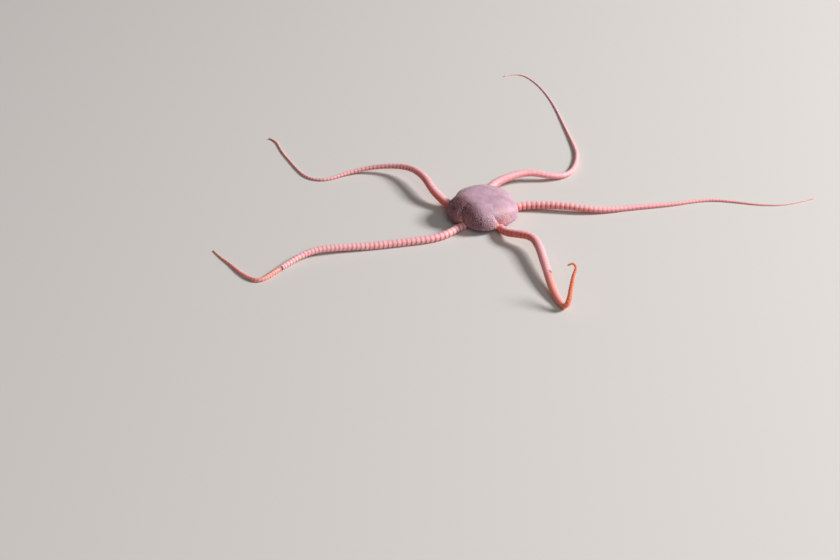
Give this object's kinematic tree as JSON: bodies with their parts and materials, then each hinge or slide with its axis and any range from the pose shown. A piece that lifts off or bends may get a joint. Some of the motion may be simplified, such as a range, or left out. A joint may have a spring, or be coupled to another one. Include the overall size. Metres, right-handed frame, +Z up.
{
  "type": "brittle star",
  "caption": "Still, life-size deep-sea brittle star with an inflated cushion-like disc and long, thin, ringed arms spread on the floor, one of them rearing its curled tip.",
  "frame": {"origin": "middle of the whole animal's box, on the floor that it rests on; the mouth's axis is 15.2 mm to -X and 28.8 mm to -Y of it", "axes": "+Z up from the floor; +X the way the right arm points, along the longest extent; -Y towards the viewer of the picture"},
  "size_m": [0.241, 0.1938, 0.0146],
  "materials": {
    "disc_skin": "moist granular skin",
    "arm_plates": "satin ringed plates",
    "jaw_plates": "satin plates"
  },
  "bodies": {
    "root": {"disc": "disc_skin", "arm_right_base": "arm_plates", "arm_right_middle": "arm_plates", "arm_right_outer": "arm_plates", "arm_right_tip": "arm_plates", "arm_back_base": "arm_plates", "arm_back_middle": "arm_plates", "arm_back_outer": "arm_plates", "arm_back_tip": "arm_plates", "arm_left_base": "arm_plates", "arm_left_middle": "arm_plates", "arm_left_outer": "arm_plates", "arm_left_tip": "arm_plates", "arm_front_left_base": "arm_plates", "arm_front_left_middle": "arm_plates", "arm_front_left_outer": "arm_plates", "arm_front_left_tip": "arm_plates", "arm_front_right_base": "arm_plates", "arm_front_right_middle": "arm_plates", "arm_front_right_outer": "arm_plates", "arm_front_right_tip": "arm_plates", "jaw_1": "jaw_plates", "jaw_2": "jaw_plates", "jaw_3": "jaw_plates", "jaw_4": "jaw_plates", "jaw_5": "jaw_plates"}
  },
  "joints": []
}
